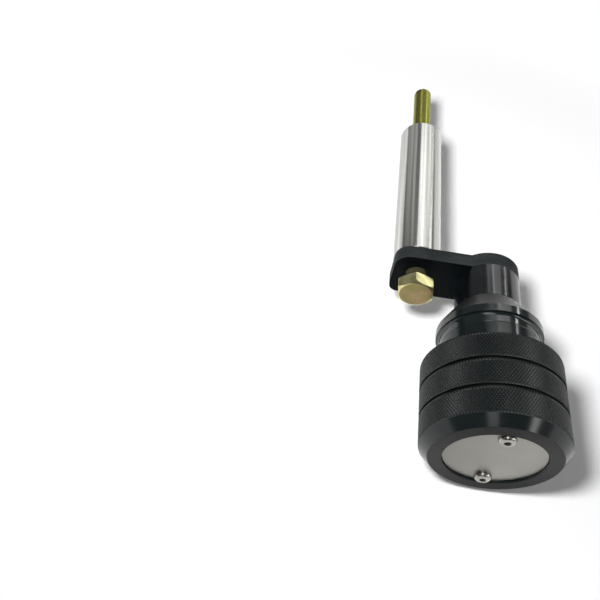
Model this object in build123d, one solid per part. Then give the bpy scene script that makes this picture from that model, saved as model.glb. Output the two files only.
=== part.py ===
"""Motorcycle frame slider with an offset bracket, in millimetres.

The origin is the centre of the spacer's seat on the frame, on the axis of the frame bolt.
+Y points into the frame, so the puck faces -Y. The bracket's arm runs along X, and +Z is up.
"""
from build123d import *
import math
import os

# Where the two axes lie
axis_offset = 33.5          # frame bolt's axis to puck's axis, along X

# Frame bolt, M10 hexagon head
bolt_diameter = 9.95        # plain shank
thread_diameter = 9.6       # plain cylinder for the thread, just inside its crests
thread_start = 0.0          # the thread runs from the seat on the frame to the tip
tip_chamfer = 1.1
hex_across_flats = 16.0
hex_height = 6.4
hex_face_ratio = 0.95       # flat face of the head, as a share of its width across flats
hex_chamfer_angle = 30.0
hex_turn = 10.0             # how far the head was left turned, degrees
bolt_reach = 42.5           # tip beyond the spacer
head_stand_off = 6.0        # head to bracket, the bolt not yet driven home

# Spacer tube
spacer_diameter = 22.6
spacer_length = 96.5
spacer_chamfer = 0.9
bolt_hole_diameter = 10.8   # in the spacer and in the bracket

# Bracket, a flat arm with a round boss
plate_thickness = 7.0
arm_top = 11.5              # bolt's axis to the arm's upper edge
arm_bottom = 14.0           # bolt's axis to the arm's lower edge
arm_end = 11.2              # bolt's axis to the arm's free end
arm_upper_corner = 7.5
arm_lower_corner = 4.5
boss_diameter = 30.0
boss_length = 17.6          # in front of the plate
bracket_edge = 0.5          # broken edge of the plate and the boss

# Collar between the boss and the puck
collar_cone_length = 12.3
collar_rim_diameter = 46.7
collar_rim_length = 3.8
collar_cove = 1.4           # step from the rim down to the neck
neck_diameter = 43.6
collar_neck_length = 3.3
seam_chamfer = 0.35         # broken edge where the collar meets the puck

# Puck
puck_diameter = 60.0
puck_shoulder_length = 11.6  # plain neck behind the knurl
band_count = 3
band_length = 11.2
groove_width = 1.4
groove_depth = 1.2
puck_back_edge = 0.6
front_chamfer_length = 4.4
front_ring_diameter = 52.3
recess_diameter = 41.0
plate_sink = 1.1            # front ring to the end plate's face
counterbore_diameter = 22.0
counterbore_depth = 20.0    # below the recess

# Puck bolt, M10 socket head, and its washer
puck_bolt_length = 75.0
puck_bolt_diameter = 9.8
puck_bolt_head_diameter = 16.0
puck_bolt_head_height = 10.0
puck_bolt_socket = 8.0
puck_bolt_socket_depth = 5.0
washer_diameter = 21.0
washer_thickness = 2.0
thread_clearance = 0.1      # all round, between a screw and its tapped hole
hole_clearance = 0.35       # all round, between a screw and its plain hole

# End plate and its two button-head screws, M4
end_plate_thickness = 1.5
end_plate_clearance = 0.15
screw_diameter = 3.9
screw_length = 9.0          # under the head
screw_head_diameter = 7.2
screw_head_height = 2.1
screw_head_rim = 0.5        # upright wall below the dome
screw_crown_diameter = 4.2  # flat top of the dome
screw_dome_fullness = 0.68  # where the dome's two tapers meet: 0.5 is one plain taper
screw_socket = 2.5
screw_socket_depth = 1.2
screw_circle_radius = 16.3
screw_angles = (90.0, 270.0)
screw_hole_spare = 2.9      # tapped hole beyond the screw's tip

# Stations along Y, from the frame to the front
plate_back = -spacer_length
plate_front = plate_back - plate_thickness
boss_front = plate_front - boss_length
collar_length = collar_cone_length + collar_rim_length + collar_cove + collar_neck_length
collar_front = boss_front - collar_length
knurl_length = band_count * band_length + (band_count - 1) * groove_width
knurl_back = collar_front - puck_shoulder_length
knurl_front = knurl_back - knurl_length
puck_front = knurl_front - front_chamfer_length
end_plate_face = puck_front + plate_sink
recess_floor = end_plate_face + end_plate_thickness
counterbore_floor = recess_floor + counterbore_depth
puck_bore = puck_bolt_diameter + 2 * hole_clearance
tapped_bore = puck_bolt_diameter + 2 * thread_clearance


def turned(points, x=0.0):
    """Turn (radius, y) points into a solid about the line parallel to Y at this x."""
    profile = make_face(Polyline(*points, close=True))
    return Pos(x, 0, 0) * revolve(profile, Axis.Y)


def round_bar(diameter, y_from, y_to, x=0.0, z=0.0):
    """A plain round bar along Y, for a disc or to cut a hole with."""
    tool = Plane.XZ.offset(-y_to) * Circle(diameter / 2)
    return Pos(x, 0, z) * extrude(tool, amount=y_to - y_from)


def hexagon(across_flats, y_from, y_to, x=0.0, z=0.0, turn=0.0):
    """A hexagonal prism along Y with a corner on top before it is turned."""
    half_corner = 180 / 6
    outline = RegularPolygon(across_flats / 2, 6, major_radius=False, rotation=half_corner + turn)
    tool = Plane.XZ.offset(-y_to) * outline
    return Pos(x, 0, z) * extrude(tool, amount=y_to - y_from)


def make_spacer():
    """The plain tube that holds the bracket off the frame."""
    bore = bolt_hole_diameter / 2
    outer = spacer_diameter / 2
    return turned([
        (bore, 0), (outer - spacer_chamfer, 0), (outer, -spacer_chamfer),
        (outer, plate_back + spacer_chamfer), (outer - spacer_chamfer, plate_back),
        (bore, plate_back),
    ])


def make_frame_bolt():
    """Hexagon-head bolt: shank, threaded end and a head with the usual turned face."""
    head_back = plate_front - head_stand_off
    head_face = head_back - hex_height
    shank = bolt_diameter / 2
    thread = thread_diameter / 2
    stem = turned([
        (0, head_back), (shank, head_back), (shank, thread_start), (thread, thread_start),
        (thread, bolt_reach - tip_chamfer), (thread - tip_chamfer, bolt_reach), (0, bolt_reach),
    ])
    head = hexagon(hex_across_flats, head_face, head_back, turn=hex_turn)
    face_radius = hex_across_flats * hex_face_ratio / 2
    slope = math.tan(math.radians(hex_chamfer_angle))
    cone_radius = face_radius + hex_height / slope
    envelope = turned([(0, head_face), (face_radius, head_face), (cone_radius, head_back),
                       (0, head_back)])
    return stem + (head & envelope)


def plate_outline():
    """The bracket's plate: a full round about the puck's axis and an arm with two corners."""
    arm_length = axis_offset + arm_end
    arm_width = arm_top + arm_bottom
    centre = (axis_offset - arm_end) / 2
    arm = Pos(centre, (arm_top - arm_bottom) / 2) * Rectangle(arm_length, arm_width)
    free_corners = arm.vertices().group_by(Axis.X)[0].sort_by(Axis.Y)
    arm = fillet(free_corners[1], arm_upper_corner)
    lower_corner = arm.vertices().group_by(Axis.Y)[0].sort_by(Axis.X)[0]
    arm = fillet(lower_corner, arm_lower_corner)
    return arm + Pos(axis_offset, 0) * Circle(boss_diameter / 2)


def make_bracket():
    """One machined piece: the arm plate with the boss that carries the puck."""
    plate = extrude(Plane.XZ.offset(-plate_back) * plate_outline(), amount=plate_thickness)
    plate = chamfer(plate.edges().filter_by(Axis.Y, reverse=True), bracket_edge)
    radius = boss_diameter / 2
    root = (plate_front + plate_back) / 2
    boss = turned([
        (0, root), (radius, root),
        (radius, boss_front + bracket_edge), (radius - bracket_edge, boss_front),
        (0, boss_front),
    ], axis_offset)
    body = plate + boss
    body -= round_bar(bolt_hole_diameter, plate_front, plate_back)
    body -= round_bar(tapped_bore, boss_front, plate_back, axis_offset)
    return body


def make_collar():
    """Turned collar: a cone up to the rim, a step down and a short neck."""
    boss = boss_diameter / 2 - bracket_edge
    rim = collar_rim_diameter / 2
    neck = neck_diameter / 2
    bore = puck_bore / 2
    cone_end = boss_front - collar_cone_length
    rim_end = cone_end - collar_rim_length
    neck_start = rim_end - collar_cove
    return turned([
        (bore, boss_front), (boss, boss_front), (rim, cone_end), (rim, rim_end),
        (neck, neck_start), (neck, collar_front + seam_chamfer),
        (neck - seam_chamfer, collar_front), (bore, collar_front),
    ], axis_offset)


def make_puck():
    """The sacrificial puck: neck, three knurled bands, front chamfer and stepped hollow."""
    outer = puck_diameter / 2
    neck = neck_diameter / 2
    ring = front_ring_diameter / 2
    recess = recess_diameter / 2
    counterbore = counterbore_diameter / 2
    bore = puck_bore / 2
    body = turned([
        (bore, collar_front), (neck, collar_front), (neck, knurl_back),
        (outer - puck_back_edge, knurl_back), (outer, knurl_back - puck_back_edge),
        (outer, knurl_front), (ring, puck_front), (recess, puck_front),
        (recess, recess_floor), (counterbore, recess_floor),
        (counterbore, counterbore_floor), (bore, counterbore_floor),
    ], axis_offset)
    for number in range(1, band_count):
        groove_front = knurl_back - number * (band_length + groove_width)
        groove_back = groove_front + groove_width
        floor = outer - groove_depth
        body -= turned([
            (floor, groove_front), (puck_diameter, groove_front),
            (puck_diameter, groove_back), (floor, groove_back),
        ], axis_offset)
    hole_end = end_plate_face + screw_length + screw_hole_spare
    for x, z in screw_places():
        body -= round_bar(screw_diameter + 2 * thread_clearance, recess_floor, hole_end, x, z)
    return body


def screw_places():
    """X and Z of each end-plate screw."""
    return [(axis_offset + screw_circle_radius * math.cos(math.radians(angle)),
             screw_circle_radius * math.sin(math.radians(angle))) for angle in screw_angles]


def make_end_plate():
    """Bare disc that covers the puck's hollow."""
    diameter = recess_diameter - 2 * end_plate_clearance
    disc = round_bar(diameter, end_plate_face, recess_floor, axis_offset)
    for x, z in screw_places():
        disc -= round_bar(screw_diameter + 2 * hole_clearance, end_plate_face, recess_floor, x, z)
    return disc


def make_plate_screw(x, z):
    """One button-head screw, with its head on the end plate's face."""
    head_top = end_plate_face - screw_head_height
    rim_top = end_plate_face - screw_head_rim
    radius = screw_head_diameter / 2
    stem = screw_diameter / 2
    tip = end_plate_face + screw_length
    crown = screw_crown_diameter / 2
    dome = (crown + (radius - crown) * screw_dome_fullness,
            rim_top + (head_top - rim_top) * screw_dome_fullness)
    screw = turned([
        (0, head_top), (crown, head_top), dome, (radius, rim_top), (radius, end_plate_face),
        (stem, end_plate_face), (stem, tip), (0, tip),
    ])
    screw -= hexagon(screw_socket, head_top, head_top + screw_socket_depth)
    return Pos(x, 0, z) * screw


def make_washer():
    """Plain washer under the puck bolt's head."""
    bore = puck_bolt_diameter / 2 + hole_clearance
    outer = washer_diameter / 2
    return turned([
        (bore, counterbore_floor), (outer, counterbore_floor),
        (outer, counterbore_floor - washer_thickness),
        (bore, counterbore_floor - washer_thickness),
    ], axis_offset)


def make_puck_bolt():
    """Socket-head bolt that clamps the puck and the collar to the boss."""
    head_seat = counterbore_floor - washer_thickness
    head_top = head_seat - puck_bolt_head_height
    radius = puck_bolt_head_diameter / 2
    stem = puck_bolt_diameter / 2
    tip = head_seat + puck_bolt_length
    bolt = turned([
        (0, head_top), (radius, head_top), (radius, head_seat), (stem, head_seat),
        (stem, tip - tip_chamfer), (stem - tip_chamfer, tip), (0, tip),
    ])
    bolt -= hexagon(puck_bolt_socket, head_top, head_top + puck_bolt_socket_depth)
    return Pos(axis_offset, 0, 0) * bolt


def make_all():
    """Every node by its name."""
    screws = Compound([make_plate_screw(x, z).solid() for x, z in screw_places()])
    return {
        "frame_spacer": make_spacer(),
        "frame_bolt": make_frame_bolt(),
        "bracket": make_bracket(),
        "collar": make_collar(),
        "puck": make_puck(),
        "end_plate": make_end_plate(),
        "end_plate_screws": screws,
        "puck_bolt_washer": make_washer(),
        "puck_bolt": make_puck_bolt(),
    }


os.makedirs("parts", exist_ok=True)
for name, shape in make_all().items():
    export_step(shape, f"parts/{name}.step")
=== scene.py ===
"""Looks of a motorcycle frame slider, laid out as an add-on and run as a script.

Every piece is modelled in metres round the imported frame: +Y runs into the motorcycle, +Z is up,
and the puck's axis lies beside the bolt's along +X.
"""

import math

import bmesh
import bpy
from bpy.props import FloatProperty, FloatVectorProperty, IntProperty, PointerProperty
from mathutils import Matrix, Vector


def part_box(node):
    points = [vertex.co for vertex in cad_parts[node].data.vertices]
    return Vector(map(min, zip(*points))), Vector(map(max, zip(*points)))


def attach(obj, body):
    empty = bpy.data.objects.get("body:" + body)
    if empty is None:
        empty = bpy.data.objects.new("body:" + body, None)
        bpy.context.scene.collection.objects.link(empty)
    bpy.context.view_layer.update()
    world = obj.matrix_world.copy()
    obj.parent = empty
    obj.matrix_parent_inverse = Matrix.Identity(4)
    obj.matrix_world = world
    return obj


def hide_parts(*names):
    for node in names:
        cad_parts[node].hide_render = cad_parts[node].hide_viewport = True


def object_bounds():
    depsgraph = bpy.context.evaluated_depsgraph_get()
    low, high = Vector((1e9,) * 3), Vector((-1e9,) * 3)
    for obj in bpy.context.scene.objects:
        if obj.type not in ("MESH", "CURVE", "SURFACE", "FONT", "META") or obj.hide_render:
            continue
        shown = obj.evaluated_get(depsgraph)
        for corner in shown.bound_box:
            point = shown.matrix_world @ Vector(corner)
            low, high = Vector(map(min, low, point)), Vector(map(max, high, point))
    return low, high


bl_info = {
    "name": "Frame slider",
    "version": (1, 0, 0),
    "blender": (4, 5, 0),
    "location": "View3D > Sidebar > Frame slider",
    "description": "Makes the pieces, finishes and stage of a motorcycle frame slider",
    "category": "Object",
}

MM = 0.001
BODY = "root"

# Points this close count as being in one place or on one circle
NEAR = 0.01 * MM
TINY = 0.001 * MM

# Widths of the finest broken edges
SPACER_EDGE, BOLT_EDGE, COLLAR_EDGE, PUCK_EDGE = 0.12 * MM, 0.14 * MM, 0.15 * MM, 0.18 * MM

# The thread's outline as shares of one turn: where the crest ends and the root starts and ends
CREST_END, ROOT_START, ROOT_END = 0.28, 0.48, 0.70
# Turns in which the thread reaches its depth, and the tip's least share of its radius
FADE_TURNS, LEAST_TIP = 1.5, 0.2

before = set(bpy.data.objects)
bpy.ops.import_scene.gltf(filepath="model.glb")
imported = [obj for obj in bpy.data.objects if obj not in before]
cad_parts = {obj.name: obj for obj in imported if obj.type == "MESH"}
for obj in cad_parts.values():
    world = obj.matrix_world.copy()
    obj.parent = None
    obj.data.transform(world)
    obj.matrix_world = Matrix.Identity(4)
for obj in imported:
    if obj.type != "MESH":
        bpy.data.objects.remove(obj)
cad_low, cad_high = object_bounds()


def distance(label, note, millimetres):
    """A length that a user may change, stored in metres."""
    return FloatProperty(name=label, description=note, default=millimetres * MM,
                         precision=5, unit="LENGTH", subtype="DISTANCE")


def colour(label, note, red, green, blue):
    """A linear colour that a user may change."""
    return FloatVectorProperty(name=label, description=note, default=(red, green, blue),
                               min=0.0, max=1.0, subtype="COLOR")


def share(label, note, value):
    """A number from 0 to 1."""
    return FloatProperty(name=label, description=note, default=value, min=0.0, max=1.0,
                         subtype="FACTOR")


def degrees(label, note, value):
    """An angle, given in degrees and stored in radians."""
    return FloatProperty(name=label, description=note, default=math.radians(value),
                         unit="ROTATION", subtype="ANGLE")


def number(label, note, value):
    """A plain number."""
    return FloatProperty(name=label, description=note, default=value)


def count(label, note, value):
    """A whole number."""
    return IntProperty(name=label, description=note, default=value, min=1)


class SpacerSettings(bpy.types.PropertyGroup):
    bore: distance("Bore", "Diameter of the hole for the frame bolt", 10.8)
    chamfer: distance("Chamfer", "Broken edge at both ends", 0.9)
    columns: count("Columns", "Facets round the tube", 128)
    bright: colour("Bright", "Bright streaks of the drawn aluminium", 0.72, 0.72, 0.69)
    dull: colour("Dull", "Dull streaks of the drawn aluminium", 0.42, 0.42, 0.39)
    roughness: share("Roughness", "Polish of the tube", 0.2)


class BoltSettings(bpy.types.PropertyGroup):
    shank: distance("Shank", "Diameter of the plain shank", 9.95)
    crest: distance("Crest", "Diameter over the thread's crests", 9.85)
    pitch: distance("Pitch", "From one turn of the thread to the next", 1.25)
    depth: distance("Depth", "From the thread's crest to its root", 0.45)
    run_in: distance("Run in", "How far inside the spacer the thread begins", 3.0)
    tip_chamfer: distance("Tip chamfer", "Taper at the bolt's tip", 1.1)
    across_flats: distance("Across flats", "Width of the hexagon", 16.0)
    head_height: distance("Head height", "Height of the hexagon", 6.4)
    face_ratio: share("Face", "Flat face as a share of the width across flats", 0.95)
    face_slope: degrees("Face slope", "Slope of the turned corners", 30.0)
    turn: degrees("Turn", "How far the head's top corner leans towards -X", 10.0)
    columns: count("Columns", "Facets round the shank", 48)
    gold: colour("Gold", "Main tint of the yellow zinc", 0.84, 0.80, 0.42)
    olive: colour("Olive", "Greenish tint of the yellow zinc", 0.27, 0.27, 0.055)
    pink: colour("Pink", "Reddish tint of the yellow zinc", 0.31, 0.215, 0.115)
    # The face colour is partly the head face's duller finish, partly painted shade for the shadowed floor
    # that face mirrors
    face: colour("Face", "Duller forged face of the head", 0.225, 0.195, 0.075)
    # The root colour is painted shade at the bottom of the thread
    root: colour("Root", "Shade at the bottom of the thread", 0.03, 0.03, 0.006)
    roughness: share("Roughness", "Polish of the zinc", 0.17)


class BracketSettings(bpy.types.PropertyGroup):
    thickness: distance("Thickness", "Of the arm's plate", 7.0)
    arm_top: distance("Arm top", "Bolt's axis to the arm's upper edge", 11.5)
    arm_bottom: distance("Arm bottom", "Bolt's axis to the arm's lower edge", 14.0)
    upper_corner: distance("Upper corner", "Radius of the free end's upper corner", 7.5)
    lower_corner: distance("Lower corner", "Radius of the free end's lower corner", 4.5)
    bolt_hole: distance("Bolt hole", "Diameter of the frame bolt's hole", 10.8)
    tapped_hole: distance("Tapped hole", "Diameter of the puck bolt's hole", 10.0)
    edge: distance("Edge", "Broken edges at most, as short edges narrow them", 0.5)
    columns: count("Columns", "Facets round the boss", 144)
    black: colour("Black", "Anodised faces", 0.0022, 0.0033, 0.0042)
    cut_edge: colour("Cut edge", "Milled edge of the plate", 0.033, 0.037, 0.038)
    roughness: share("Roughness", "Polish of the boss", 0.16)


class CollarSettings(bpy.types.PropertyGroup):
    cone_length: distance("Cone", "Length of the cone", 12.3)
    rim_length: distance("Rim", "Length of the rim", 3.8)
    cove: distance("Cove", "Length of the step down to the neck", 1.4)
    neck: distance("Neck", "Diameter of the neck", 43.6)
    bore: distance("Bore", "Hole for the puck bolt", 10.5)
    seam: distance("Seam", "Broken edge at the puck", 0.35)
    columns: count("Columns", "Facets round the collar", 160)
    black: colour("Black", "Anodised finish", 0.0035, 0.006, 0.006)
    # The cone's lighter grey is partly its matte blasted finish, partly a painted reflection of the pale
    # floor
    cone: colour("Cone", "Blasted cone", 0.020, 0.020, 0.021)
    roughness: share("Roughness", "Polish of the collar", 0.16)


class PuckSettings(bpy.types.PropertyGroup):
    shoulder: distance("Shoulder", "Plain neck behind the knurl", 11.6)
    bands: count("Bands", "Knurled bands", 3)
    band: distance("Band", "Length of a knurled band", 11.2)
    groove: distance("Groove", "Width of a groove", 1.4)
    groove_depth: distance("Groove depth", "Below the knurl's crests", 1.2)
    screw_hole: distance("Screw hole", "Diameter of each plate screw's hole", 4.1)
    screw_hole_spare: distance("Screw hole spare", "Hole beyond the screw's tip", 2.9)
    ring: distance("Ring", "Outer diameter of the flat front ring", 52.3)
    recess: distance("Recess", "Diameter of the end plate's recess", 41.0)
    counterbore: distance("Counterbore", "Diameter of the hollow behind the plate", 22.0)
    counterbore_depth: distance("Counterbore depth", "Below the recess", 20.0)
    knurl_count: count("Knurl", "Diamonds round the puck", 150)
    knurl_rows: count("Knurl rows", "Rows of half diamonds along a band", 12)
    knurl_depth: distance("Knurl depth", "Of the grooves between the diamonds", 0.38)
    knurl_flat: distance("Knurl flat", "Cut from a diamond's point along its edges", 0.26)
    black: colour("Black", "Body of the plastic", 0.0035, 0.006, 0.0062)
    turned: colour("Turned", "Flat face left by the turning tool", 0.008, 0.008, 0.009)
    # The valley colour is painted shade down in the knurl and the grooves
    crest: colour("Crest", "Unshaded tops of the knurl", 0.006, 0.0085, 0.0085)
    painted_valley_shade: colour("Valley", "Bottom of the knurl and the grooves", 0.002, 0.003, 0.003)
    roughness: share("Roughness", "Polish of the turned plastic", 0.2)


class PlateSettings(bpy.types.PropertyGroup):
    edge: distance("Edge", "Broken edge of the plate", 0.2)
    columns: count("Columns", "Facets round the plate", 144)
    hole: distance("Hole", "Diameter of each screw's hole", 4.6)
    satin: colour("Satin", "Satin metal", 0.305, 0.295, 0.265)
    roughness: share("Roughness", "Polish of the plate", 0.42)


class ScrewSettings(bpy.types.PropertyGroup):
    head: distance("Head", "Diameter of the button head", 7.2)
    head_height: distance("Head height", "Height of the button head", 2.1)
    rim: distance("Rim", "Upright wall below the dome", 0.5)
    crown: distance("Crown", "Flat top of the dome", 4.2)
    stem: distance("Stem", "Diameter of the thread", 3.9)
    socket: distance("Socket", "Hexagon across flats", 2.5)
    socket_depth: distance("Socket depth", "Of the hexagon", 1.2)
    columns: count("Columns", "Facets round the head", 48)
    dome_rows: count("Dome rows", "Facets up the dome", 7)
    steel: colour("Steel", "Bright steel", 0.44, 0.43, 0.39)
    roughness: share("Roughness", "Polish of the screws", 0.2)


class StageSettings(bpy.types.PropertyGroup):
    lens: distance("Lens", "Focal length on the 36 mm sensor", 41.27)
    eye: FloatVectorProperty(name="Eye", description="Where the camera stands, in metres",
                             default=(-0.04619, -0.32368, 0.24390), subtype="TRANSLATION")
    azimuth: degrees("Azimuth", "The camera's turn round +Z, 0 looking along +Y", 1.83)
    elevation: degrees("Elevation", "The camera above the horizon", 51.48)
    roll: degrees("Roll", "The camera's lean", 7.37)
    floor_size: distance("Floor", "Width of the floor", 12000.0)
    floor_front: colour("Floor front", "Floor before the puck, near the key", 0.70, 0.70, 0.705)
    floor_back: colour("Floor back", "Floor behind the bolt's tip, far from it", 0.92, 0.92, 0.925)
    floor_glow: number("Floor glow", "White added for the camera and reflections", 0.13)
    near_floor: distance("Near floor", "How far from the object the floor is lit", 160.0)
    white_floor: distance("White floor", "How far off it has turned plain white", 240.0)
    world_light: number("World light", "Soft light from all sides", 0.15)
    key: number("Key", "Power of the one lamp that throws shadows, in watts", 52.0)
    key_size: distance("Key size", "Diameter of the key", 60.0)
    key_offset: FloatVectorProperty(name="Key offset", description="From the camera to the key",
                                    default=(-0.050, 0.074, 0.0), subtype="TRANSLATION")
    flag_size: distance("Flag size", "Width of each dark screen", 18000.0)
    flag_grey: colour("Flag grey", "Grey of the dark screens that polished faces reflect", 0.15, 0.15, 0.15)


SETTINGS = {
    "slider_spacer": SpacerSettings,
    "slider_bolt": BoltSettings,
    "slider_bracket": BracketSettings,
    "slider_collar": CollarSettings,
    "slider_puck": PuckSettings,
    "slider_plate": PlateSettings,
    "slider_screws": ScrewSettings,
    "slider_stage": StageSettings,
}


# Mesh helpers

def centre_line(node):
    """X of a turned node's axis."""
    low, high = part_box(node)
    return (low.x + high.x) / 2


def turn(bm, profile, columns, x=0.0, z=0.0, start=0.0, closed=True):
    """Spins (radius, y) points about the line parallel to Y at x, z, from this angle off +Z."""
    verts = [bm.verts.new((x + radius * math.sin(start), y, z + radius * math.cos(start)))
             for radius, y in profile]
    ends = verts[1:] + verts[:1] if closed else verts[1:]
    edges = [bm.edges.new(pair) for pair in zip(verts, ends)]
    bmesh.ops.spin(bm, geom=verts + edges, cent=(x, 0, z), axis=(0, 1, 0), dvec=(0, 0, 0),
                   angle=math.tau, steps=columns, use_merge=True)


def circle(bm, x, y, z, radius, segments):
    """A circle round the line parallel to Y at x, z, as (points, edges)."""
    where = Matrix.Translation((x, y, z)) @ Matrix.Rotation(math.pi / 2, 4, "X")
    verts = bmesh.ops.create_circle(bm, cap_ends=False, segments=segments, radius=radius,
                                    matrix=where)["verts"]
    return verts, list(dict.fromkeys(edge for vert in verts for edge in vert.link_edges))


def pull(bm, made, length):
    """Moves the points of newly extruded geometry along Y, and gives them."""
    verts = [item for item in made if isinstance(item, bmesh.types.BMVert)]
    bmesh.ops.translate(bm, verts=verts, vec=(0.0, length, 0.0))
    return verts


def extrude(bm, faces, length):
    """Extrudes faces along Y."""
    pull(bm, bmesh.ops.extrude_face_region(bm, geom=faces)["geom"], length)


def merge(bm):
    """Joins points that coincide, as at a pole."""
    bmesh.ops.remove_doubles(bm, verts=bm.verts, dist=2 * TINY)


def sharp_edges(bm, limit=25.0):
    """Edges whose faces meet at more than the limit, in degrees."""
    return [edge for edge in bm.edges
            if len(edge.link_faces) == 2 and edge.calc_face_angle() > math.radians(limit)]


def bevel(bm, items, width, segments=2, affect="EDGES"):
    """Rounds these edges, by less where they are too short for the width, or cuts off points."""
    bmesh.ops.bevel(bm, geom=items, offset=width, offset_type="OFFSET", segments=segments,
                    profile=0.5, affect=affect, clamp_overlap=affect == "EDGES", material=-1)


def hexagon_radius(angle, across_flats):
    """Distance from the centre to a hexagon's outline, at this angle from a corner."""
    sixth = math.tau / 6
    from_flat = (angle % sixth) - sixth / 2
    return across_flats / 2 / math.cos(from_flat)


def put(name, data):
    """A new object in the scene with this data."""
    thing = bpy.data.objects.new(name, data)
    bpy.context.scene.collection.objects.link(thing)
    return thing


def put_mesh(name, bm):
    """A new object in the scene from this mesh, which is used up."""
    mesh = bpy.data.meshes.new(name)
    bm.to_mesh(mesh)
    bm.free()
    return put(name, mesh)


def finish_piece(name, bm, finishes, node, flat_finish=None):
    """Shades the closed mesh, and puts the piece in the place of its CAD node."""
    bmesh.ops.recalc_face_normals(bm, faces=bm.faces)
    for face in bm.faces:
        face.smooth = face.material_index != flat_finish
    for edge in sharp_edges(bm, limit=35.0):
        edge.smooth = False
    open_edges = [edge for edge in bm.edges if len(edge.link_faces) != 2]
    if open_edges:
        raise RuntimeError(f"{name} has {len(open_edges)} open edges")
    piece = put_mesh(name, bm)
    for material in finishes:
        piece.data.materials.append(material)
    weighted = piece.modifiers.new("Even shading", "WEIGHTED_NORMAL")
    weighted.keep_sharp = True
    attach(piece, BODY)
    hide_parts(node)


# Material helpers

def feed(socket, value):
    """Links another node's output to the socket, or sets its number, vector or colour."""
    if isinstance(value, bpy.types.NodeSocket):
        socket.id_data.links.new(value, socket)
    elif socket.type == "RGBA":
        socket.default_value = (*value, 1.0)
    else:
        socket.default_value = value


def add(tree, kind, inputs, **settings):
    """A new node with these settings, and its inputs fed by name or by place."""
    node = tree.nodes.new(kind)
    for key, value in settings.items():
        setattr(node, key, value)
    for key, value in inputs.items():
        feed(node.inputs[key], value)
    return node


def show(tree, shader, kind="Material"):
    """Gives the tree an output that shows this shader."""
    add(tree, "ShaderNodeOutput" + kind, {"Surface": shader.outputs[0]})


def new_material(name):
    """A material with an empty tree, as (material, tree)."""
    material = bpy.data.materials.new(name)
    material.use_nodes = True
    material.node_tree.nodes.clear()
    return material, material.node_tree


def vector_math(tree, operation, *values):
    """A vector operation's result on these values."""
    node = add(tree, "ShaderNodeVectorMath", dict(enumerate(values)), operation=operation)
    return node.outputs["Value" if operation == "LENGTH" else "Vector"]


def number_math(tree, operation, *values):
    """An operation's result on these numbers."""
    node = add(tree, "ShaderNodeMath", dict(enumerate(values)), operation=operation)
    return node.outputs[0]


def place(tree, scale=(1.0, 1.0, 1.0), centre=(0.0, 0.0, 0.0)):
    """Object coordinates about this centre, scaled per metre."""
    spot = add(tree, "ShaderNodeTexCoord", {}).outputs["Object"]
    return vector_math(tree, "MULTIPLY", vector_math(tree, "SUBTRACT", spot, centre), scale)


def part_of(tree, vector, axis):
    """X, Y or Z of a vector."""
    return add(tree, "ShaderNodeSeparateXYZ", {0: vector}).outputs[axis]


def facing(tree):
    """Y of the surface's normal."""
    return part_of(tree, add(tree, "ShaderNodeTexCoord", {}).outputs["Normal"], "Y")


def noise(tree, scale, detail=2.0, roughness=0.5, centre=(0.0, 0.0, 0.0)):
    """Noise from 0 to 1; the scale is in blotches per metre, one number or one per axis."""
    scale = (scale,) * 3 if isinstance(scale, float) else scale
    return add(tree, "ShaderNodeTexNoise", {
        "Vector": place(tree, scale, centre), "Scale": 1.0, "Detail": detail,
        "Roughness": roughness}).outputs["Fac"]


def spread(tree, value, low, high, to_low=0.0, to_high=1.0):
    """Maps low..high to to_low..to_high, held at the ends."""
    return add(tree, "ShaderNodeMapRange", {
        "Value": value, "From Min": low, "From Max": high, "To Min": to_low,
        "To Max": to_high}, clamp=True).outputs["Result"]


def blend(tree, factor, first, second):
    """Mixes two colours, each a tuple or another node's output."""
    colours = {"Factor": factor, 6: first, 7: second}
    return add(tree, "ShaderNodeMix", colours, data_type="RGBA").outputs[2]


def shaded(colour_value, factor):
    """A paler or darker colour."""
    return tuple(factor * channel for channel in colour_value)


def turning(tree, centre, amount):
    """Shader inputs that stretch highlights along the axis, as fine turning lines do."""
    across = vector_math(tree, "CROSS_PRODUCT", (0.0, 1.0, 0.0), place(tree, centre=centre))
    return {"Tangent": across, "Anisotropic": amount, "Anisotropic Rotation": 0.25}


def surface(name, paint):
    """A material whose Principled shader has the inputs and the relief that paint(tree) gives."""
    material, tree = new_material(name)
    height, depth, inputs = paint(tree)
    bump = add(tree, "ShaderNodeBump", {"Distance": depth, "Height": height})
    show(tree, add(tree, "ShaderNodeBsdfPrincipled", {**inputs, "Normal": bump.outputs[0]}))
    return material


# Finishes

def drawn_aluminium(settings):
    """Bright tube with streaks along its length and fine turning lines round it."""
    def paint(tree):
        streaks = noise(tree, (420.0, 3.0, 420.0), 4.0, 0.6)
        fine = noise(tree, (2600.0, 8.0, 2600.0))
        base = blend(tree, spread(tree, streaks, 0.36, 0.62), settings.dull, settings.bright)
        return noise(tree, (8.0, 2600.0, 8.0)), 0.0012 * MM, {
            "Base Color": blend(tree, spread(tree, fine, 0.35, 0.65, 0.0, 0.3), base,
                                settings.dull),
            "Roughness": spread(tree, streaks, 0.3, 0.7, settings.roughness + 0.08,
                                settings.roughness - 0.05),
            "Metallic": 1.0, **turning(tree, (0.0, 0.0, 0.0), 0.75)}
    return surface("Drawn aluminium", paint)


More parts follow.
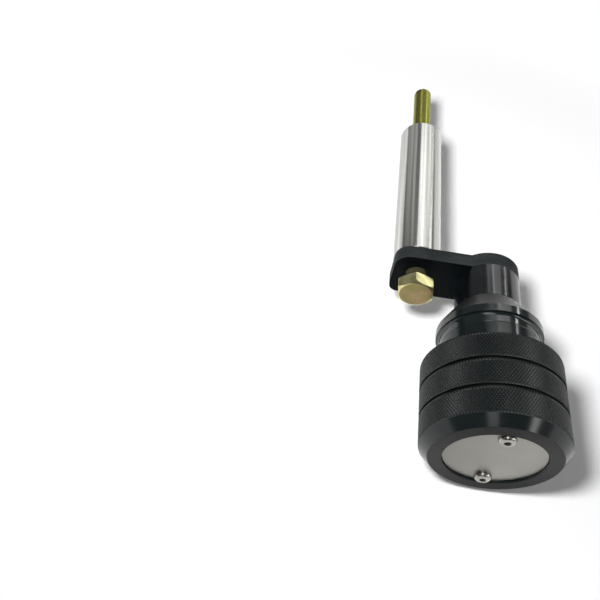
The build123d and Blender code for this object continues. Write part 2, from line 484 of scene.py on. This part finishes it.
def yellow_zinc(settings):
    """Yellow zinc plate: cream gold that drifts to pink on the head, greener on the shank, with painted
    shade in the thread's roots and on the head's face.
    """
    def paint(tree):
        drift = noise(tree, (120.0, 90.0, 120.0))
        tint = noise(tree, (210.0, 160.0, 210.0), centre=(0.011, 0.004, 0.007))
        grain = noise(tree, 6000.0, 3.0)
        base = blend(tree, spread(tree, tint, 0.4, 0.7, 0.0, 0.4), settings.gold, settings.pink)
        base = blend(tree, spread(tree, drift, 0.5, 0.8, 0.0, 0.5), base, settings.olive)
        shank = spread(tree, part_of(tree, place(tree), "Y"), -0.02, 0.0)
        base = blend(tree, shank, base, settings.olive)
        # Faces towards -Y take the darker face colour: partly a duller finish, partly painted shade
        face = spread(tree, facing(tree), -0.98, -0.93, 1.0, 0.0)
        dull_face_and_shade = blend(tree, spread(tree, tint, 0.4, 0.65), settings.face, settings.pink)
        base = blend(tree, face, base, dull_face_and_shade)
        # Painted shade: deep in the thread the colour darkens to the root colour
        reach = vector_math(tree, "LENGTH", place(tree, (1.0, 0.0, 1.0)))
        root = spread(tree, reach, settings.crest / 2 - settings.depth,
                      settings.crest / 2 - 0.2 * settings.depth, 0.6, 0.0)
        root = number_math(tree, "MULTIPLY", root, shank)
        return grain, 0.006 * MM, {
            "Base Color": blend(tree, root, base, settings.root),
            "Roughness": spread(tree, grain, 0.3, 0.7, settings.roughness - 0.06,
                                settings.roughness + 0.1),
            "Metallic": 0.93}
    return surface("Yellow zinc", paint)


def plate_black(settings):
    """Black anodising over a milled plate, paler and more matte on its cut edge."""
    def paint(tree):
        cloud = noise(tree, (70.0, 160.0, 70.0), 3.0)
        edge = spread(tree, number_math(tree, "ABSOLUTE", facing(tree)), 0.5, 0.85, 1.0, 0.0)
        cut = blend(tree, spread(tree, cloud, 0.35, 0.7, 0.0, 0.5), settings.cut_edge,
                    settings.black)
        return noise(tree, 3800.0, 3.0), 0.008 * MM, {
            "Base Color": blend(tree, edge, settings.black, cut),
            "Roughness": spread(tree, edge, 0.0, 1.0, 0.42, 0.52),
            "Specular IOR Level": 0.04}
    return surface("Anodised plate", paint)


def turned_black(name, settings, centre, gloss, zone=None, tint=None, matte=None):
    """Glossy black over fine turning lines, with another tint and polish in a zone along Y.

    The zone is given as spread() takes it: where it starts and ends, and its share at each.
    """
    def paint(tree):
        cloud = noise(tree, 120.0, 3.0)
        base = blend(tree, spread(tree, cloud, 0.35, 0.7, 0.0, 0.6), settings.black,
                     shaded(settings.black, 1.8))
        rough = spread(tree, cloud, 0.3, 0.7, settings.roughness - 0.03,
                       settings.roughness + 0.05)
        if zone:
            inside = spread(tree, part_of(tree, place(tree), "Y"), *zone)
            base = blend(tree, inside, base, tint)
            rough = spread(tree, inside, 0.0, 1.0, settings.roughness, matte)
        return noise(tree, (40.0, 6000.0, 40.0)), 0.003 * MM, {
            "Base Color": base, "Roughness": rough, "Specular IOR Level": gloss,
            **turning(tree, centre, 0.7)}
    return surface(name, paint)


def knurled_plastic(settings, centre, crest):
    """Black acetal, painted darker down in the knurl's valleys and the grooves as shade."""
    def paint(tree):
        grain = noise(tree, 2500.0, 3.0)
        reach = vector_math(tree, "LENGTH", place(tree, (1.0, 0.0, 1.0), centre))
        # Painted shade: below the crests the colour darkens to the valley colour
        high = spread(tree, reach, crest - 0.45 * MM, crest - 0.12 * MM)
        return grain, 0.006 * MM, {
            "Base Color": blend(tree, high, settings.painted_valley_shade, settings.crest),
            "Roughness": spread(tree, grain, 0.3, 0.7, 0.26, 0.38),
            "Specular IOR Level": 0.5}
    return surface("Knurled plastic", paint)


def satin_metal(settings, centre):
    """Fine blasted metal, with painted shade darkening it towards -X."""
    def paint(tree):
        grain = noise(tree, 9000.0)
        cloud = noise(tree, 70.0, 3.0)
        base = blend(tree, spread(tree, cloud, 0.3, 0.7), settings.satin,
                     shaded(settings.satin, 1.12))
        across = part_of(tree, place(tree, centre=centre), "X")
        return grain, 0.003 * MM, {
            # Painted shade: the colour darkens towards -X
            "Base Color": blend(tree, spread(tree, across, -0.02, 0.005, 0.9, 0.0), base,
                                shaded(settings.satin, 0.74)),
            "Roughness": spread(tree, grain, 0.3, 0.7, settings.roughness - 0.05,
                                settings.roughness + 0.05),
            "Metallic": 1.0}
    return surface("Satin plate", paint)


def bright_steel(name, steel, roughness):
    """Plated steel with faint blotches."""
    def paint(tree):
        grain = noise(tree, 4000.0, 3.0)
        cloud = noise(tree, 500.0)
        return grain, 0.003 * MM, {
            "Base Color": blend(tree, spread(tree, cloud, 0.35, 0.65), shaded(steel, 0.7), steel),
            "Roughness": spread(tree, grain, 0.3, 0.7, roughness - 0.05, roughness + 0.08),
            "Metallic": 1.0}
    return surface(name, paint)


# Pieces

class SLIDER_OT_spacer(bpy.types.Operator):
    """Turns the spacer tube"""
    bl_idname = "slider.spacer"
    bl_label = "Spacer"

    def execute(self, context):
        settings = context.scene.slider_spacer
        low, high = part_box("frame_spacer")
        outer = min(high.x, -low.x)
        bore = settings.bore / 2
        edge = settings.chamfer
        bm = bmesh.new()
        turn(bm, [
            (bore, high.y), (outer - edge, high.y), (outer, high.y - edge),
            (outer, low.y + edge), (outer - edge, low.y), (bore, low.y),
        ], settings.columns)
        bevel(bm, sharp_edges(bm), SPACER_EDGE)
        finish_piece("spacer_tube", bm, [drawn_aluminium(settings)], "frame_spacer")
        return {"FINISHED"}


class SLIDER_OT_bolt(bpy.types.Operator):
    """Makes the frame bolt: a threaded shank and a hexagon head"""
    bl_idname = "slider.bolt"
    bl_label = "Frame bolt"

    def execute(self, context):
        settings = context.scene.slider_bolt
        low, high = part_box("frame_bolt")
        bm = bmesh.new()
        self.make_shank(bm, settings, low.y + settings.head_height / 2, high.y)
        self.make_head(bm, settings, low.y)
        finish_piece("hexagon_bolt", bm, [yellow_zinc(settings)], "frame_bolt")
        return {"FINISHED"}

    def make_shank(self, bm, settings, inside_head, tip):
        """A plain shank that runs into a rolled thread, cut off square at the tip."""
        pitch = settings.pitch
        start = -settings.run_in
        turns = math.ceil((tip - start) / pitch) + 3
        verts = [bm.verts.new((0.0, start + (index - 1 + part) * pitch, settings.crest / 2))
                 for index in range(turns) for part in (0.0, CREST_END, ROOT_START, ROOT_END)]
        edges = [bm.edges.new(pair) for pair in zip(verts, verts[1:])]
        steps = settings.columns
        bmesh.ops.spin(bm, geom=verts + edges, cent=(0, 0, 0), axis=(0, 1, 0),
                       dvec=(0, pitch / steps, 0), angle=math.tau, steps=steps,
                       use_merge=False)
        merge(bm)
        for vert in bm.verts:
            self.shape_thread(vert, settings, start, tip)
        for y, normal in ((start, (0, -1, 0)), (tip, (0, 1, 0))):
            bmesh.ops.bisect_plane(bm, geom=bm.verts[:] + bm.edges[:] + bm.faces[:],
                                   dist=TINY, plane_co=(0, y, 0), plane_no=normal,
                                   clear_outer=True)
        made = bmesh.ops.extrude_edge_only(bm, edges=self.rim(bm, start))["geom"]
        pull(bm, made, inside_head - start)
        for y in (inside_head, tip):
            bmesh.ops.contextual_create(bm, geom=self.rim(bm, y))

    def rim(self, bm, y):
        """The open edges at this station."""
        return [edge for edge in bm.edges if edge.is_boundary
                and all(abs(vert.co.y - y) < NEAR for vert in edge.verts)]

    def shape_thread(self, vert, settings, start, tip):
        """Sinks a point to the thread's root, fading in at the shank, and tapers the tip."""
        angle = math.atan2(vert.co.x, vert.co.z) % math.tau
        along = (vert.co.y - start) / settings.pitch - angle / math.tau
        part = along % 1.0
        rise = (part - CREST_END) / (ROOT_START - CREST_END)
        fall = (1.0 - part) / (1.0 - ROOT_END)
        sunk = max(0.0, min(1.0, rise, fall))
        fade = max(0.0, min(1.0, (vert.co.y - start) / (FADE_TURNS * settings.pitch)))
        plain = settings.shank / 2 + (settings.crest - settings.shank) / 2 * fade
        radius = plain - settings.depth * sunk * fade
        cone = settings.crest / 2 - settings.tip_chamfer + (tip - vert.co.y)
        radius = max(LEAST_TIP * radius, min(radius, cone))
        now = math.hypot(vert.co.x, vert.co.z)
        vert.co.x *= radius / now
        vert.co.z *= radius / now

    def make_head(self, bm, settings, face):
        """A hexagon whose corners are turned off at the face."""
        flat = settings.across_flats * settings.face_ratio / 2
        wide = settings.across_flats / 2
        back = face + settings.head_height
        back_slope = 0.6 * math.tan(settings.face_slope)
        before = set(bm.verts)
        turn(bm, [
            (0.0, face), (flat, face), (wide, face + 0.25 * settings.head_height),
            (wide, back - 0.3 * MM), (flat, back), (0.0, back),
        ], columns=72, start=-settings.turn, closed=False)
        verts = [vert for vert in bm.verts if vert not in before]
        for vert in verts:
            if abs(math.hypot(vert.co.x, vert.co.z) - wide) > NEAR:
                continue
            angle = math.atan2(vert.co.x, vert.co.z) + settings.turn
            radius = hexagon_radius(angle, settings.across_flats)
            if vert.co.y < face + settings.head_height / 2:
                vert.co.y = face + (radius - flat) * math.tan(settings.face_slope)
            else:
                vert.co.y = back - (radius - flat) * back_slope
            vert.co.x *= radius / wide
            vert.co.z *= radius / wide
        merge(bm)
        corners = [edge for edge in sharp_edges(bm, limit=12.0)
                   if all(vert not in before for vert in edge.verts)]
        bevel(bm, corners, BOLT_EDGE)


class SLIDER_OT_bracket(bpy.types.Operator):
    """Makes the bracket: the arm's plate with its boss"""
    bl_idname = "slider.bracket"
    bl_label = "Bracket"

    def execute(self, context):
        settings = context.scene.slider_bracket
        low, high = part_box("bracket")
        radius = high.z
        centre = high.x - radius
        plate_front = high.y - settings.thickness
        bm = bmesh.new()
        self.draw_outline(bm, settings, low.x, high.y, centre, radius)
        extrude(bm, bm.faces[:], -settings.thickness)
        disc = [face for face in bm.faces if abs(face.normal.y) > 0.99
                and abs(face.calc_center_median().y - plate_front) < NEAR
                and len(face.verts) == settings.columns]
        extrude(bm, disc, low.y - plate_front)
        bmesh.ops.delete(bm, geom=disc, context="FACES_ONLY")
        bmesh.ops.recalc_face_normals(bm, faces=bm.faces)
        rims = [edge for edge in sharp_edges(bm, limit=60.0) if edge.is_convex
                and abs(edge.verts[0].co.y - edge.verts[1].co.y) < NEAR
                and edge.verts[0].co.y > low.y + NEAR]
        bevel(bm, rims, settings.edge, segments=3)
        self.drill(bm, settings, centre)
        for face in bm.faces:
            if face.calc_center_median().y < plate_front - 5 * NEAR:
                face.material_index = 1
        finishes = [plate_black(settings),
                    turned_black("Anodised boss", settings, (centre, 0.0, 0.0), 0.75)]
        finish_piece("arm_and_boss", bm, finishes, "bracket")
        return {"FINISHED"}

    def draw_outline(self, bm, settings, free_end, back, centre, radius):
        """The arm's outline with its hole, and the boss's circle, as flat faces."""
        top, bottom = settings.arm_top, -settings.arm_bottom
        ring, ring_edges = circle(bm, centre, back, 0.0, radius, settings.columns)
        kinks = []
        for height in (top, bottom):
            kink = Vector((centre - math.sqrt(radius ** 2 - height ** 2), back, height))
            nearest = min(ring, key=lambda vert: (vert.co - kink).length)
            nearest.co = kink
            kinks.append(nearest)
        bmesh.ops.contextual_create(bm, geom=ring_edges)
        upper = bm.verts.new((free_end, back, top))
        lower = bm.verts.new((free_end, back, bottom))
        arm = [bm.edges.new((kinks[0], upper)), bm.edges.new((upper, lower)),
               bm.edges.new((lower, kinks[1]))]
        inner = [edge for edge in ring_edges
                 if all(bottom - TINY < end.co.z < top + TINY and end.co.x < centre
                        for end in edge.verts)]
        bmesh.ops.contextual_create(bm, geom=arm + inner)
        corners = ((upper, settings.upper_corner), (lower, settings.lower_corner))
        for corner, size in corners:
            bevel(bm, [corner], size, segments=12, affect="VERTICES")
        arm_face = max((face for face in bm.faces if face.calc_center_median().x < centre
                        and len(face.verts) != settings.columns),
                       key=lambda face: face.calc_area())
        loop = arm_face.edges[:]
        loop += circle(bm, 0.0, back, 0.0, settings.bolt_hole / 2, segments=48)[1]
        bmesh.ops.delete(bm, geom=[arm_face], context="FACES_ONLY")
        bmesh.ops.triangle_fill(bm, edges=loop, use_beauty=True, normal=(0, 1, 0))

    def drill(self, bm, settings, centre):
        """The puck bolt's tapped hole, right through boss and plate."""
        rims = []
        for end in [face for face in bm.faces if len(face.verts) > settings.columns / 2]:
            y = end.calc_center_median().y
            outline = end.edges[:]
            bmesh.ops.delete(bm, geom=[end], context="FACES_ONLY")
            rim = circle(bm, centre, y, 0.0, settings.tapped_hole / 2, segments=48)[1]
            bmesh.ops.triangle_fill(bm, edges=outline + rim, use_beauty=True, normal=(0, 1, 0))
            rims += rim
        bmesh.ops.bridge_loops(bm, edges=rims)


class SLIDER_OT_collar(bpy.types.Operator):
    """Turns the collar between the boss and the puck"""
    bl_idname = "slider.collar"
    bl_label = "Collar"

    def execute(self, context):
        settings = context.scene.slider_collar
        low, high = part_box("collar")
        x = centre_line("collar")
        rim = high.z
        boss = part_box("bracket")[1].z
        neck = settings.neck / 2
        cone_end = high.y - settings.cone_length
        rim_end = cone_end - settings.rim_length
        cove_rows = 5
        cove = [(neck + (rim - neck) * (1 - math.sin(math.pi / 2 * row / cove_rows)),
                 rim_end - settings.cove * (1 - math.cos(math.pi / 2 * row / cove_rows)))
                for row in range(1, cove_rows)]
        bm = bmesh.new()
        turn(bm, [
            (settings.bore / 2, high.y), (boss, high.y), (rim, cone_end), (rim, rim_end),
            *cove, (neck, rim_end - settings.cove), (neck, low.y + settings.seam),
            (neck - settings.seam, low.y), (settings.bore / 2, low.y),
        ], settings.columns, x)
        bevel(bm, sharp_edges(bm, limit=30.0), COLLAR_EDGE)
        # Behind the rim the cone takes the lighter cone colour and a matte polish; the lighter colour is
        # partly a painted reflection of the floor
        finish = turned_black("Anodised collar", settings, (x, 0.0, 0.0), 0.75,
                              (cone_end, cone_end + 0.3 * MM), settings.cone, 0.30)
        finish_piece("turned_collar", bm, [finish], "collar")
        return {"FINISHED"}


class SLIDER_OT_puck(bpy.types.Operator):
    """Turns the puck and knurls its bands"""
    bl_idname = "slider.puck"
    bl_label = "Puck"

    def execute(self, context):
        settings = context.scene.slider_puck
        low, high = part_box("puck")
        x = centre_line("puck")
        centre = Vector((x, 0.0, 0.0))
        crest = high.z
        root = crest - settings.knurl_depth
        knurl_back = high.y - settings.shoulder
        neck = context.scene.slider_collar.neck / 2
        bore = context.scene.slider_collar.bore / 2
        recess_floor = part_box("end_plate")[1].y
        counterbore_floor = recess_floor + settings.counterbore_depth
        profile = [(bore, high.y), (neck, high.y), (neck, knurl_back)]
        bands = []
        for band in range(settings.bands):
            back = knurl_back - band * (settings.band + settings.groove)
            front = back - settings.band
            bands.append((front, back))
            if band:
                profile.append((crest - settings.groove_depth, back + settings.groove))
                profile.append((crest - settings.groove_depth, back))
            for row in range(settings.knurl_rows + 1):
                lip = 0.5 * settings.knurl_depth if row in (0, settings.knurl_rows) else 0.0
                profile.append((root + lip, back - settings.band * row / settings.knurl_rows))
        profile += [
            (settings.ring / 2, low.y), (settings.recess / 2, low.y),
            (settings.recess / 2, recess_floor), (settings.counterbore / 2, recess_floor),
            (settings.counterbore / 2, counterbore_floor), (bore, counterbore_floor),
        ]
        bm = bmesh.new()
        turn(bm, profile, 2 * settings.knurl_count, x)
        front_edges = [edge for edge in sharp_edges(bm)
                       if all(abs(vert.co.y - low.y) < NEAR for vert in edge.verts)]
        bevel(bm, front_edges, PUCK_EDGE)
        self.tap(bm, settings, x, recess_floor, screw_heights(context.scene.slider_screws))
        self.knurl(bm, settings, x, root, crest, bands)
        for face in bm.faces:
            middle = face.calc_center_median()
            if bands[-1][0] < middle.y < knurl_back and (middle - centre).xz.length > neck:
                face.material_index = 1
        turned = turned_black("Turned plastic", settings, centre, 0.45,
                              (low.y + 0.05 * MM, low.y + 0.3 * MM, 1.0, 0.0), settings.turned, 0.65)
        finishes = [turned, knurled_plastic(settings, centre, crest)]
        finish_piece("knurled_puck", bm, finishes, "puck", flat_finish=1)
        return {"FINISHED"}

    def tap(self, bm, settings, x, floor, heights):
        """Cuts the plate screws' blind holes into the recess's floor."""
        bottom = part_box("end_plate_screws")[1].y + settings.screw_hole_spare
        ring = [face for face in bm.faces
                if all(abs(vert.co.y - floor) < TINY for vert in face.verts)]
        bmesh.ops.delete(bm, geom=ring, context="FACES")
        rims = [edge for edge in bm.edges if edge.is_boundary]
        holes = [circle(bm, x, floor, z, settings.screw_hole / 2, segments=24)[1]
                 for z in heights]
        bmesh.ops.triangle_fill(bm, edges=sum(holes, rims), use_beauty=True,
                                normal=(0, -1, 0))
        for hole in holes:
            made = bmesh.ops.extrude_edge_only(bm, edges=hole)["geom"]
            moved = set(pull(bm, made, bottom - floor))
            end = [item for item in made if isinstance(item, bmesh.types.BMEdge)
                   and moved.issuperset(item.verts)]
            bmesh.ops.contextual_create(bm, geom=end)
        bmesh.ops.recalc_face_normals(bm, faces=bm.faces)

    def knurl(self, bm, settings, x, root, crest, bands):
        """Raises every other point of a band to the crest, then flattens the diamonds' tops."""
        column = math.tau / (2 * settings.knurl_count)
        row_length = settings.band / settings.knurl_rows
        tops = []
        for front, back in bands:
            for vert in bm.verts:
                if not front - 10 * NEAR < vert.co.y < back + 10 * NEAR:
                    continue
                radius = math.hypot(vert.co.x - x, vert.co.z)
                if abs(radius - root) > NEAR:
                    continue
                row = round((back - vert.co.y) / row_length)
                angle = math.atan2(vert.co.x - x, vert.co.z)
                if row in (0, settings.knurl_rows) or (row + round(angle / column)) % 2:
                    continue
                vert.co.x = x + (vert.co.x - x) * crest / radius
                vert.co.z *= crest / radius
                tops.append(vert)
        faces = list(dict.fromkeys(face for vert in tops for face in vert.link_faces))
        bmesh.ops.triangulate(bm, faces=faces, quad_method="SHORT_EDGE")
        bevel(bm, tops, settings.knurl_flat, segments=1, affect="VERTICES")


class SLIDER_OT_end_plate(bpy.types.Operator):
    """Makes the bare satin plate with its two screw holes"""
    bl_idname = "slider.end_plate"
    bl_label = "End plate"

    def execute(self, context):
        settings = context.scene.slider_plate
        low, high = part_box("end_plate")
        x = centre_line("end_plate")
        bm = bmesh.new()
        circle(bm, x, high.y, 0.0, high.z, settings.columns)
        for screw_z in screw_heights(context.scene.slider_screws):
            circle(bm, x, high.y, screw_z, settings.hole / 2, segments=40)
        bmesh.ops.triangle_fill(bm, edges=bm.edges, use_beauty=True, normal=(0, 1, 0))
        extrude(bm, bm.faces[:], low.y - high.y)
        bmesh.ops.recalc_face_normals(bm, faces=bm.faces)
        outer = [edge for edge in sharp_edges(bm, limit=60.0)
                 if all(math.hypot(vert.co.x - x, vert.co.z) > high.z - NEAR
                        and abs(vert.co.y - low.y) < NEAR for vert in edge.verts)]
        bevel(bm, outer, settings.edge)
        finish_piece("satin_end_plate", bm, [satin_metal(settings, (x, 0.0, 0.0))], "end_plate")
        return {"FINISHED"}


def screw_heights(settings):
    """Z of the two plate screws, from their node's box."""
    low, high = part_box("end_plate_screws")
    return (low.z + settings.head / 2, high.z - settings.head / 2)


class SLIDER_OT_screws(bpy.types.Operator):
    """Makes the two button-head screws"""
    bl_idname = "slider.screws"
    bl_label = "Plate screws"

    def execute(self, context):
        settings = context.scene.slider_screws
        low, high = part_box("end_plate_screws")
        bm = bmesh.new()
        for z in screw_heights(settings):
            self.make_screw(bm, settings, centre_line("end_plate_screws"), z, low.y, high.y)
        material = bright_steel("Screw steel", settings.steel, settings.roughness)
        finish_piece("button_head_screws", bm, [material], "end_plate_screws")
        return {"FINISHED"}

    def make_screw(self, bm, settings, x, z, top, tip):
        """A domed head with a hexagon socket, on a plain stem."""
        head = settings.head / 2
        crown = settings.crown / 2
        rim = top + settings.head_height - settings.rim
        seat = top + settings.head_height
        rows = settings.dome_rows
        dome = [(crown + (head - crown) * math.sin(math.pi / 2 * row / rows),
                 rim - (rim - top) * math.cos(math.pi / 2 * row / rows))
                for row in range(rows + 1)]
        socket = 0.3 * settings.socket
        mouth = 1.2 * socket
        mouth_spare = 1.12
        floor = top + settings.socket_depth
        before = set(bm.verts)
        turn(bm, [
            (0.0, floor + 0.3 * MM), (socket, floor), (socket, top + 0.12 * MM), (mouth, top),
            *dome, (head, seat), (settings.stem / 2, seat), (settings.stem / 2, tip), (0.0, tip),
        ], settings.columns, x, z, closed=False)
        for vert in bm.verts:
            if vert in before:
                continue
            radius = math.hypot(vert.co.x - x, vert.co.z - z)
            at_mouth = abs(radius - mouth) < NEAR
            if abs(radius - socket) > NEAR and not at_mouth:
                continue
            angle = math.atan2(vert.co.x - x, vert.co.z - z)
            wanted = (mouth_spare if at_mouth else 1.0) * hexagon_radius(angle, settings.socket)
            vert.co.x = x + (vert.co.x - x) * wanted / radius
            vert.co.z = z + (vert.co.z - z) * wanted / radius
        merge(bm)


class SLIDER_OT_hidden(bpy.types.Operator):
    """Gives the hidden puck bolt and its washer their finishes"""
    bl_idname = "slider.hidden"
    bl_label = "Hidden fixings"

    def execute(self, context):
        black_oxide = bright_steel("Black oxide", (0.07, 0.07, 0.075), 0.35)
        plated = bright_steel("Washer steel", (0.62, 0.61, 0.59), 0.25)
        for node, material in (("puck_bolt", black_oxide), ("puck_bolt_washer", plated)):
            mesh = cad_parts[node].data
            mesh.materials.clear()
            mesh.materials.append(material)
        return {"FINISHED"}


class SLIDER_OT_stage(bpy.types.Operator):
    """Makes the floor, the surround, the camera, the dark screens and the lamps"""
    bl_idname = "slider.stage"
    bl_label = "Stage"

    def execute(self, context):
        settings = context.scene.slider_stage
        context.scene.view_settings.view_transform = "Standard"
        self.make_floor(settings)
        self.make_world(context.scene, settings)
        self.make_camera(context.scene, settings)
        self.make_flags(settings)
        self.make_key(settings)
        self.make_lamps()
        return {"FINISHED"}

    def seen_white(self, tree):
        """1 for rays from the camera and for reflected or refracted ones, else 0."""
        rays = add(tree, "ShaderNodeLightPath", {}).outputs
        mask = number_math(tree, "MAXIMUM", rays["Is Camera Ray"], rays["Is Glossy Ray"])
        return number_math(tree, "MAXIMUM", mask, rays["Is Transmission Ray"])

    def staged_plane(self, name, size, where):
        """A plane with an empty material, as (plane, tree)."""
        bm = bmesh.new()
        bmesh.ops.create_grid(bm, x_segments=1, y_segments=1, size=size / 2, matrix=where)
        plane = put_mesh(name, bm)
        material, tree = new_material(name)
        plane.data.materials.append(material)
        return plane, tree

    def make_floor(self, settings):
        """A pale floor just under the puck, plain white to the camera far from the object."""
        tree = self.staged_plane("floor", settings.floor_size,
                                 Matrix.Translation((0.0, 0.0, cad_low.z)))[1]
        seen = self.seen_white(tree)
        back = spread(tree, part_of(tree, place(tree), "Y"), cad_low.y, cad_high.y)
        matte = add(tree, "ShaderNodeBsdfDiffuse", {
            "Color": blend(tree, back, settings.floor_front, settings.floor_back)})
        glow = add(tree, "ShaderNodeEmission", {
            "Strength": number_math(tree, "MULTIPLY", seen, settings.floor_glow)})
        near = add(tree, "ShaderNodeAddShader", {0: matte.outputs[0], 1: glow.outputs[0]})
        reach = vector_math(tree, "LENGTH", place(tree, centre=(cad_low + cad_high) / 2))
        away = spread(tree, reach, settings.near_floor, settings.white_floor)
        white = add(tree, "ShaderNodeEmission", {})
        show(tree, add(tree, "ShaderNodeMixShader", {
            0: number_math(tree, "MULTIPLY", seen, away), 1: near.outputs[0],
            2: white.outputs[0]}))

    def make_flags(self, settings):
        """Dark screens that only reflections show, as a studio's black flags do."""
        across = Matrix.Rotation(math.pi / 2, 4, "Y")
        upright = Matrix.Rotation(math.pi / 2, 4, "X")
        # Each has a name, its place and turn, and its share of the flags' grey
        flags = (
            ("ceiling_flag", Matrix.Translation((0.4, 2.0, 2.0)), 1.0),
            ("left_flag", Matrix.Translation((-6.0, 2.0, 5.0)) @ across, 0.3),
            ("front_flag", Matrix.Translation((0.0, -5.0, 5.0)) @ upright, 0.5),
        )
        for name, where, part in flags:
            flag, tree = self.staged_plane(name, settings.flag_size, where)
            for light in ("camera", "diffuse", "transmission", "volume_scatter", "shadow"):
                setattr(flag, "visible_" + light, False)
            show(tree, add(tree, "ShaderNodeEmission", {
                "Color": settings.flag_grey, "Strength": part}))

    def make_world(self, scene, settings):
        """Even soft light, and a white surround for the camera and reflections."""
        scene.world = bpy.data.worlds.new("Studio")
        scene.world.use_nodes = True
        tree = scene.world.node_tree
        tree.nodes.clear()
        level = spread(tree, self.seen_white(tree), 0.0, 1.0, settings.world_light, 1.0)
        show(tree, add(tree, "ShaderNodeBackground", {
            "Color": (1.0, 1.0, 1.0), "Strength": level}), "World")

    def make_camera(self, scene, settings):
        """The photograph's camera."""
        data = bpy.data.cameras.new("camera")
        data.sensor_width = 36.0
        data.lens = settings.lens / MM
        data.clip_start = 10.0 * MM
        scene.camera = put("camera", data)
        scene.camera.matrix_world = (Matrix.Translation(settings.eye)
                                     @ Matrix.Rotation(settings.azimuth, 4, "Z")
                                     @ Matrix.Rotation(math.pi / 2 - settings.elevation, 4, "X")
                                     @ Matrix.Rotation(settings.roll, 4, "Z"))

    def make_lamps(self):
        """Lamps that only reflections show."""
        # Each has a name, its degrees from +Z towards +X round the frame bolt, its place along
        # Y, its distance from the bolt's axis, its width and length, and its brightness
        windows = (
            ("spacer_window", 26.0, 1.3, 1.0, (1.5, 0.80), 1.5),
            ("left_window", -55.0, 1.3, 1.0, (1.0, 0.70), 0.4),
            ("boss_window", 25.5, 0.80, 1.0, (0.42, 0.14), 1.3),
            ("boss_line", 10.5, 0.80, 1.0, (0.07, 0.14), 7.0),
            ("boss_strip", 55.5, 0.80, 1.0, (0.05, 0.14), 5.0),
            ("neck_window", 19.0, 0.62, 1.0, (0.52, 0.16), 1.6),
            ("neck_strip", 49.0, 0.56, 1.0, (0.06, 0.12), 20.0),
            ("knurl_window", 6.0, 0.42, 1.0, (1.00, 0.14), 5.0),
            ("dot_left", -12.0, -0.36, 1.0, (0.40, 0.30), 4.0),
            ("dot_right", 66.0, -0.36, 1.0, (0.40, 0.30), 4.0),
            ("front_left", -15.0, -1.0, 0.9, (0.30, 0.5), 2.6),
            ("front_right", 53.0, -0.80, 0.9, (0.16, 0.5), 5.0),
        )
        for name, angle, along, away, size, brightness in windows:
            data = bpy.data.lights.new(name, "AREA")
            data.shape = "RECTANGLE"
            data.size, data.size_y = size
            data.energy = brightness * math.pi * size[0] * size[1]
            lamp = put(name, data)
            lamp.matrix_world = (Matrix.Rotation(math.radians(angle), 4, "Y")
                                 @ Matrix.Translation((0.0, along, away)))
            lamp.visible_diffuse = False

    def make_key(self, settings):
        """A small lamp by the camera, as strong far off as near, for close even shadows."""
        data = bpy.data.lights.new("key", "POINT")
        data.energy = settings.key
        data.shadow_soft_size = settings.key_size / 2
        data.use_nodes = True
        tree = data.node_tree
        tree.nodes.clear()
        even = add(tree, "ShaderNodeLightFalloff", {"Strength": 1.0})
        show(tree, add(tree, "ShaderNodeEmission", {
            "Strength": even.outputs["Constant"]}), "Light")
        key = put("key", data)
        key.location = Vector(settings.eye) + Vector(settings.key_offset)
        key.visible_camera = False
        key.visible_glossy = False


OPERATORS = (
    SLIDER_OT_spacer, SLIDER_OT_bolt, SLIDER_OT_bracket, SLIDER_OT_collar, SLIDER_OT_puck,
    SLIDER_OT_end_plate, SLIDER_OT_screws, SLIDER_OT_hidden, SLIDER_OT_stage,
)


class SLIDER_PT_panel(bpy.types.Panel):
    """Lists the pieces of the frame slider"""
    bl_idname = "SLIDER_PT_panel"
    bl_label = "Frame slider"
    bl_space_type = "VIEW_3D"
    bl_region_type = "UI"
    bl_category = "Frame slider"

    def draw(self, context):
        for operator in OPERATORS:
            self.layout.operator(operator.bl_idname)


def register():
    for name, settings in SETTINGS.items():
        bpy.utils.register_class(settings)
        setattr(bpy.types.Scene, name, PointerProperty(type=settings))
    for operator in OPERATORS:
        bpy.utils.register_class(operator)
    bpy.utils.register_class(SLIDER_PT_panel)


def unregister():
    bpy.utils.unregister_class(SLIDER_PT_panel)
    for operator in reversed(OPERATORS):
        bpy.utils.unregister_class(operator)
    for name, settings in reversed(SETTINGS.items()):
        delattr(bpy.types.Scene, name)
        bpy.utils.unregister_class(settings)


def main():
    """Makes the whole object and its stage."""
    register()
    bpy.ops.slider.spacer()
    bpy.ops.slider.bolt()
    bpy.ops.slider.bracket()
    bpy.ops.slider.collar()
    bpy.ops.slider.puck()
    bpy.ops.slider.end_plate()
    bpy.ops.slider.screws()
    bpy.ops.slider.hidden()
    bpy.ops.slider.stage()


if __name__ == "__main__":
    main()
